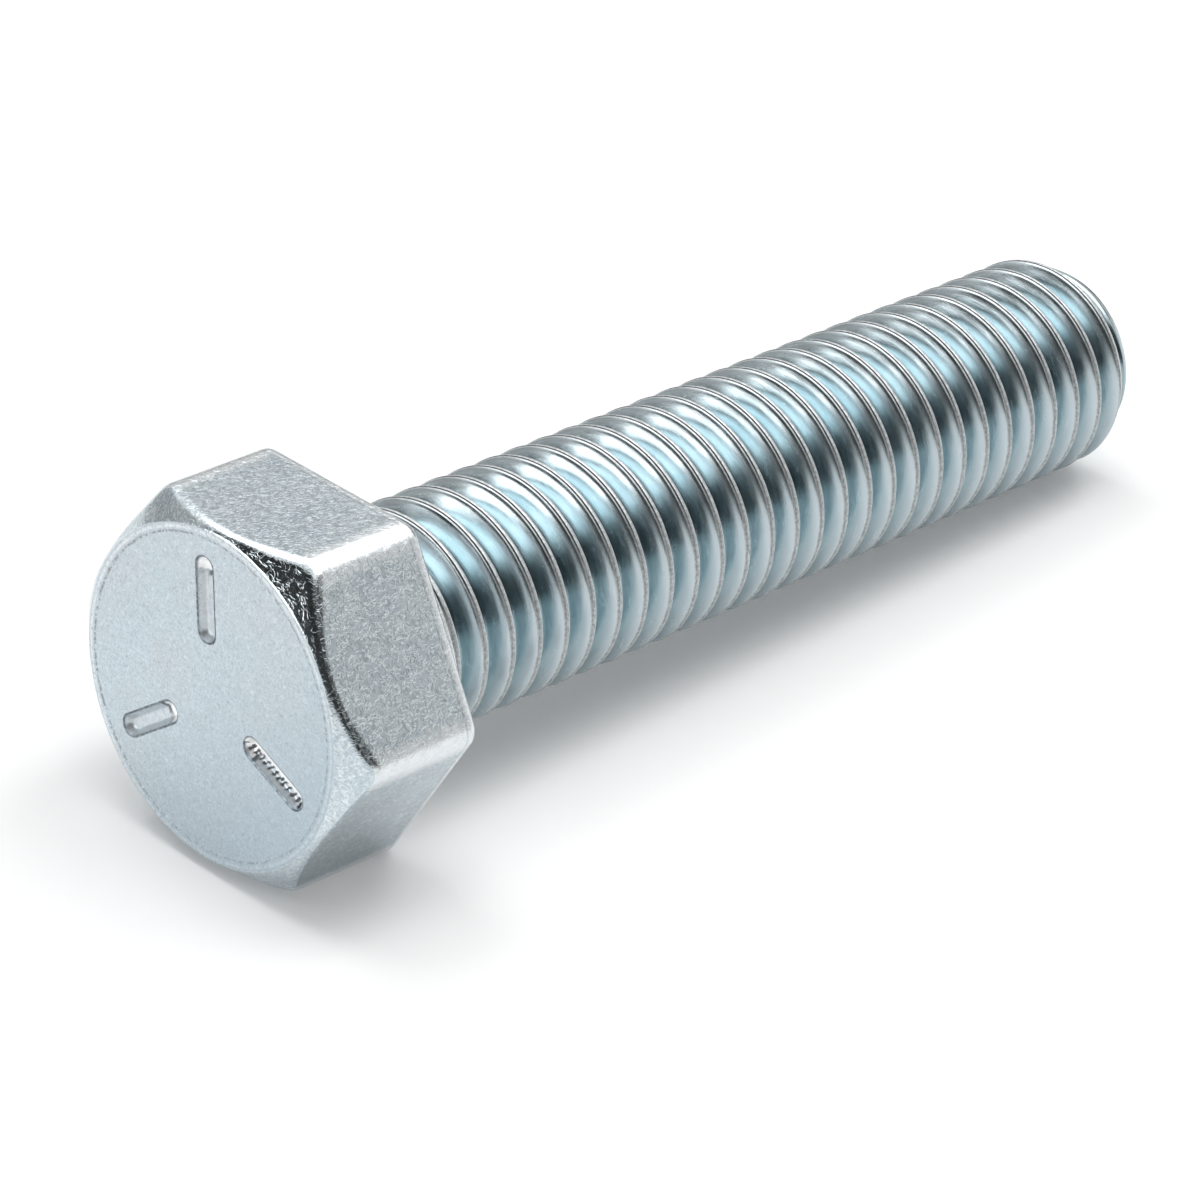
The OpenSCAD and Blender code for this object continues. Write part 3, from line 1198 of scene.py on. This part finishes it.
@dataclass(frozen=True)
class RolledPlate(ZincPlate):
    """Zinc plate on a rolled thread: streaks along the helix, grey speckled lands, painted highlights, and painted
    shade and dark reflections on its sides, roots and fold.
    """

    land_roughness: float = 0.3
    shank: ThreadedShank = ThreadedShank()

    def helix(self, graph: BoltGraph) -> Tuple[Signal, Signal]:
        """The place on the thread.

        Args:
            graph: The material's nodes.

        Returns:
            The place along the axis in pitches, and the distance from the middle of the nearest land
            in millimetres, along the axis.
        """
        along = graph.x / self.shank.pitch
        pitches = along - graph.angle / (2 * math.pi) - self.shank.turn_deg / 360
        return along, (pitches - round(pitches)) * self.shank.pitch

    def grains(self, graph: BoltGraph) -> Signal:
        """The place on the thread, measured in streaks, so that they follow it.

        Args:
            graph: The material's nodes.

        Returns:
            The way along the helix, pi times the diameter for each turn, and the way across it.
        """
        along, across = self.helix(graph)
        once_round = math.pi * self.shank.crest_d
        wound = along * once_round - across * (once_round / self.shank.pitch)
        return graph.first("CombineXYZ", wound * self.grain[0], across * self.grain[1])

    def wear(self, graph: BoltGraph) -> None:
        """Paint shade on the lower side, dark reflections on the far side, shade in the roots and in the fold of the
        land, and highlights on the flank and on the land's edge, and tone the lands.

        Args:
            graph: The material's nodes.
        """
        _, across = self.helix(graph)
        away = abs(across)
        half_land = self.shank.land / 2
        half_pitch = self.shank.pitch / 2
        spots = graph.spot.stretched(6.0).noise(3.0, 0.7, 0.4)
        # Painted shade, growing towards the lower side of the thread.
        graph.paint(Tone.THREAD_LOW, graph.z.span(5.0, -1.0, 0.0, 0.5))
        # Painted dark reflection in patches on the far side of the flanks and roots.
        patch = graph.y.span(0.7, 2.2) * away.span(0.3, 0.6) * spots.span(0.4, 0.56, 0.15, 0.75)
        graph.paint(Tone.THREAD_PATCH, patch)
        # Painted highlight on the head-side flank next to the land.
        graph.paint(Tone.THREAD_SIDE, across.span(-0.62, -0.24) * across.span(0.0, -0.1) * 0.55)
        on_land = away.span(half_land + 0.03, half_land - 0.05)
        graph.rough = graph.rough + on_land * self.land_roughness
        land = graph.tint(spots.span(0.4, 0.6), Tone.LAND_LIGHT, Tone.LAND_DARK)
        graph.paint(land, on_land * 0.85)
        # Painted shade in the roots of the thread.
        graph.paint(Tone.ROOT, away.span(half_pitch - 0.45, half_pitch) * 0.6)
        # Painted highlight along the point-side edge of each land.
        graph.paint(Tone.LAND_EDGE, across.line(half_land - 0.01, 0.075, 0.03) * 0.8)
        # Painted shade in the fold of each land, darker on the upper side.
        fold = across.line(self.shank.seam_at, 0.075, 0.035)
        graph.paint(Tone.FOLD, fold * graph.z.span(2.6, 4.4, 0.2, 1.0))


def new_object(name: str, points: list, faces: list) -> bpy.types.Object:
    """Make a mesh object and put it into the scene.

    Args:
        name: Name of the object and of its mesh.
        points: Its points, in metres.
        faces: The point numbers of each face.

    Returns:
        The object.
    """
    mesh = bpy.data.meshes.new(name)
    mesh.from_pydata(points, [], faces)
    made = bpy.data.objects.new(name, mesh)
    bpy.context.scene.collection.objects.link(made)
    return made


@dataclass
class HexTapBolt:
    """The whole bolt as one closed piece."""

    rest: Rest = Rest()
    head: BoltHead = BoltHead()
    shank: ThreadedShank = ThreadedShank()

    def build(self) -> bpy.types.Object:
        """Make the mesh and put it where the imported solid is.

        Returns:
            The bolt, without finishes.
        """
        shell = Shell()
        neck_ring = self.head.build(shell)
        self.shank.build(shell, neck_ring, self.head.neck_end(), self.head.marks.first_deg)
        points = self.rest.place(np.concatenate(shell.points))
        bolt = new_object("tap_bolt", points.tolist(), shell.faces)
        bolt.data.polygons.foreach_set("material_index", shell.kinds)
        bolt.data.polygons.foreach_set("use_smooth", [True] * len(shell.faces))
        bolt.data.update()
        return bolt

    def dress(self, bolt: bpy.types.Object) -> None:
        """Give the faces their finishes.

        Args:
            bolt: The object that build made.
        """
        pale = (0.62, 0.69, 0.73)
        blue = (0.54, 0.62, 0.67)
        dull = (0.545, 0.61, 0.65)
        grey = (0.455, 0.545, 0.575)
        teal = (0.385, 0.485, 0.52)
        finishes = {
            Finish.FACE: FacePlate("zinc_face", dull, blue, roughness=0.26, grain=(6.0,), relief=0.006,
                                   speckle=0.22, worms=0.25),
            Finish.BEVEL: ZincPlate("zinc_bevel", pale, blue, roughness=0.13, grain=(5.0,), relief=0.0045,
                                    speckle=0.22, worms=0.5),
            Finish.FLATS: FlatPlate("zinc_flats", pale, blue, roughness=0.24, grain=(5.5, 6.5, 6.5),
                                    relief=0.003, twist=1.0, worms=1.0),
            Finish.THREAD: RolledPlate("zinc_thread", grey, teal, roughness=0.24, grain=(0.6, 6.0),
                                       relief=0.004)}
        for kind in Finish:
            bolt.data.materials.append(finishes[kind].material(self.rest))


@dataclass(frozen=True)
class Panel:
    """One curved soft lamp or grey card of the studio, a piece of a ball round the bolt.

    Azimuths run from +X towards +Y and elevations up from the floor, in degrees. A lamp lights only the
    floor, and every other panel is seen only in the metal's reflections.
    """

    name: str
    azimuths: Tuple[float, float]
    elevations: Tuple[float, float]
    level: float
    distance: float = 0.5
    lamp: bool = False
    steps: Tuple[int, int] = (16, 8)
    centre: Colour = (-0.01, 0.0, 0.012)

    def build(self) -> None:
        """Make the panel."""
        across, up = self.steps
        a = np.radians(np.linspace(*self.azimuths, across + 1))[:, None]
        e = np.radians(np.linspace(*self.elevations, up + 1))[None, :]
        grid = np.stack([np.cos(a) * np.cos(e), np.sin(a) * np.cos(e), np.sin(e) + 0 * a], axis=-1)
        points = grid.reshape(-1, 3) * self.distance + self.centre
        first = (np.arange(across)[:, None] * (up + 1) + np.arange(up)).reshape(-1)
        faces = np.stack([first, first + 1, first + up + 2, first + up + 1], axis=1)
        panel = new_object(self.name, points.tolist(), faces.tolist())
        graph = Graph(bpy.data.materials.new(self.name))
        graph.glow(0.0, self.level)
        panel.data.materials.append(graph.owner)
        panel.visible_camera = False
        panel.visible_diffuse = self.lamp
        panel.visible_glossy = not self.lamp
        panel.visible_shadow = False
        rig.stage(panel)


@dataclass(frozen=True)
class Studio:
    """Pale floor, soft lamps, grey cards and the camera."""

    lens: float = 157.7914
    sensor: float = 36.0
    centre_px: Tuple[float, float] = (590.83, 597.43)
    picture: int = 1200
    position: Colour = (-0.18051893, -0.16696618, 0.15145631)
    right: Colour = (0.70645216, -0.70668683, 0.03897527)
    down: Colour = (-0.34314729, -0.39015623, -0.85441679)
    forward: Colour = (0.61901153, 0.59023033, -0.51812439)
    ambient: float = 0.25
    floor_glow: float = 0.15
    floor_grey: float = 0.9
    floor_half: float = 3.0
    panels: Tuple[Panel, ...] = (
        Panel("zenith_lamp", (0.0, 360.0), (76.0, 90.0), 4.4, 1.5, lamp=True),
        Panel("left_lamp", (60.0, 120.0), (55.0, 76.0), 4.6, 1.5, lamp=True),
        Panel("right_lamp", (300.0, 360.0), (55.0, 76.0), 5.1, 1.5, lamp=True),
        Panel("near_lamp", (180.0, 300.0), (55.0, 76.0), 1.5, 1.5, lamp=True),
        Panel("key_bank", (45.0, 110.0), (46.0, 82.0), 4.6),
        Panel("edge_bank", (-40.0, 44.0), (40.0, 60.0), 3.2),
        Panel("top_bank", (-75.0, 44.0), (52.0, 88.0), 4.6, 0.51),
        Panel("left_strip", (138.0, 180.0), (12.0, 27.5), 4.8),
        Panel("dark_card", (125.0, 235.0), (29.5, 58.0), 0.03, 0.51),
        Panel("soft_strip", (180.0, 188.0), (6.0, 27.5), 1.1, 0.503),
        Panel("thread_card", (184.0, 199.0), (5.0, 21.0), 0.12, 0.506),
        Panel("low_card", (184.0, 225.0), (-4.0, 5.5), 0.42, 0.504),
        Panel("camera_side", (185.0, 300.0), (-6.0, 44.0), 0.05, 0.52),
        Panel("left_wall", (84.0, 137.0), (0.0, 29.0), 0.46, 0.53),
        Panel("right_wall", (300.0, 340.0), (0.0, 30.0), 0.66, 0.5),
        Panel("back_wall", (8.0, 78.0), (8.0, 39.0), 0.6, 0.5),
        Panel("far_card", (348.0, 380.0), (2.0, 22.0), 0.03, 0.49),
        Panel("horizon_card", (20.0, 75.0), (-1.0, 8.0), 0.12, 0.49))

    def camera(self) -> None:
        """The camera at the photograph's viewing angle."""
        data = bpy.data.cameras.new("camera")
        data.sensor_fit = "HORIZONTAL"
        data.sensor_width = self.sensor
        data.lens = self.lens
        data.shift_x = (self.picture / 2 - self.centre_px[0]) / self.picture
        data.shift_y = (self.centre_px[1] - self.picture / 2) / self.picture
        data.clip_start = 0.01
        data.clip_end = 20.0
        camera = bpy.data.objects.new("camera", data)
        turned = np.eye(4)
        turned[:3, :3] = np.array([self.right, -np.array(self.down), -np.array(self.forward)]).T
        turned[:3, 3] = self.position
        camera.matrix_world = Matrix(turned.tolist())
        bpy.context.scene.collection.objects.link(camera)
        bpy.context.scene.camera = camera

    def floor(self) -> None:
        """A plain pale floor that keeps the object's shadow."""
        s = self.floor_half
        floor = new_object("floor", [(-s, -s, 0), (s, -s, 0), (s, s, 0), (-s, s, 0)], [(0, 1, 2, 3)])
        graph = Graph(bpy.data.materials.new("pale_floor"))
        graph.glow(self.floor_grey, graph.seen_by("Camera", "Glossy") * self.floor_glow)
        graph.feed("Roughness", 1.0)
        floor.data.materials.append(graph.owner)
        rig.stage(floor)

    def world(self) -> None:
        """Soft light from all round, which the camera and the metal see as plain white."""
        world = bpy.data.worlds.new("studio")
        bpy.context.scene.world = world
        graph = Graph(world)
        seen = graph.seen_by("Camera", "Glossy", "Transmission")
        graph.feed("Strength", seen.span(0.0, 1.0, self.ambient, 1.0))
        graph.feed("Color", (1.0, 1.0, 1.0, 1.0))

    def build(self) -> None:
        """Make the camera, the floor and the light."""
        self.camera()
        self.floor()
        self.world()
        for panel in self.panels:
            panel.build()
        bpy.context.scene.view_settings.view_transform = "Standard"


def corners_of(box: tuple) -> list:
    """The two corners of a box as plain lists of numbers."""
    return [[float(v) for v in corner] for corner in box]


def main() -> None:
    """Build the stage and the bolt, and hang the bolt on its body."""
    logging.basicConfig(level=logging.INFO, format="%(name)s: %(message)s")
    Studio().build()
    maker = HexTapBolt()
    bolt = maker.build()
    maker.dress(bolt)
    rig.ride(bolt, BODY)
    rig.replaces(bolt, NODE)
    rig.slot(bolt, SLOT)
    triangles = sum(len(p.vertices) - 2 for p in bolt.data.polygons)
    log.info("%s: %d points, %d triangles", bolt.name, len(bolt.data.vertices), triangles)
    with open("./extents.json", "w") as out:
        json.dump({"cad": corners_of(CAD_BOX), "visual": corners_of(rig.bounds())}, out, indent=1)


if __name__ == "__main__":
    main()
